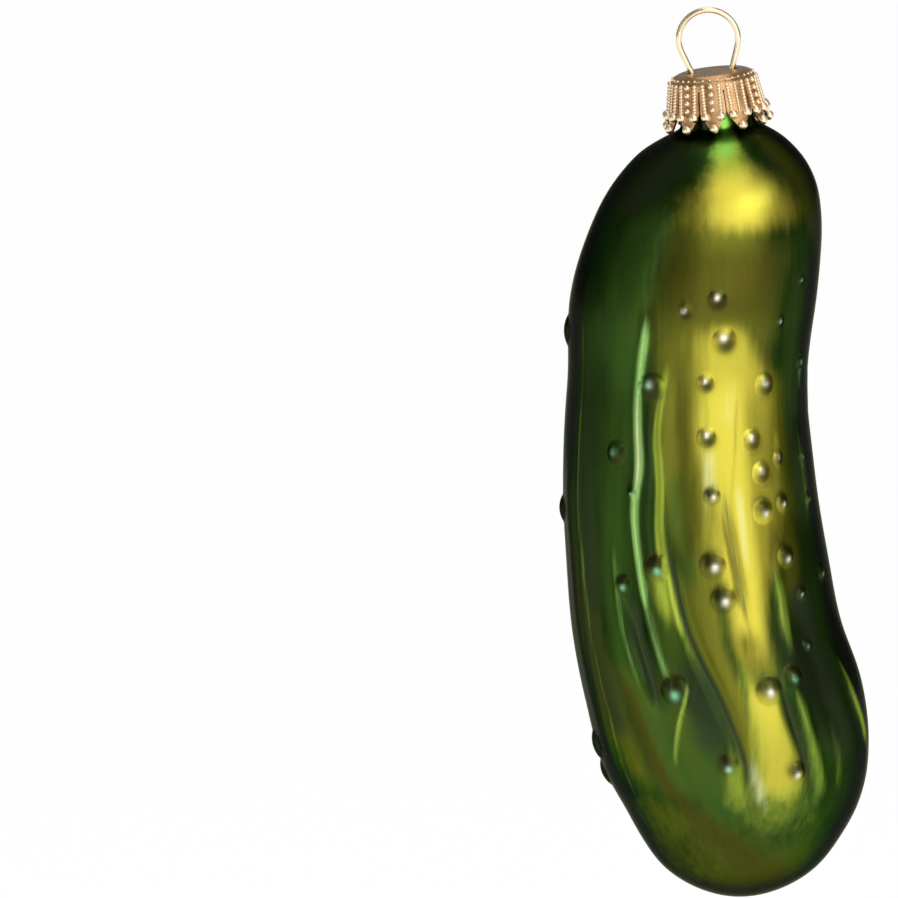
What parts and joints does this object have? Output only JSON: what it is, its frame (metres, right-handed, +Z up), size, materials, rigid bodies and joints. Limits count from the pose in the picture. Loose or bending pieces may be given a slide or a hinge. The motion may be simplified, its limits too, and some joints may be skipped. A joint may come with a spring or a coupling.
{
  "type": "pickle ornament",
  "caption": "Hanging tree ornament: a bent, warty blown-glass pickle with an open neck, a beaded crown cap and a wire hanging loop.",
  "frame": {"origin": "the hanging point, at the inner top of the wire loop, where a hook or thread bears", "axes": "+Z up along the hanging line, +X to the right and -Y towards the viewer of the pickle's front; the loop lies in the X-Z plane, and the neck, cap and loop lean 6.5 degrees to -X"},
  "size_m": [0.0412, 0.036, 0.1191],
  "materials": {
    "lacquered_glass": "satin green to yellow lacquer over silvered glass, opaque",
    "cap_metal": "copper-gold, pressed with rows of beads",
    "wire": "smooth pale gold"
  },
  "bodies": {
    "loop": {"hanger": "wire"},
    "crown": {"cap": "cap_metal"},
    "pickle": {"glass_body": "lacquered_glass"}
  },
  "joints": [
    {"name": "loop_draw", "type": "slide", "parent": "loop", "child": "crown", "axis": [0.1132, 0, -0.9936], "range_m": [0, 0.004]},
    {"name": "cap_lift", "type": "slide", "parent": "crown", "child": "pickle", "axis": [0.1132, 0, -0.9936], "range_m": [0, 0.02]}
  ]
}
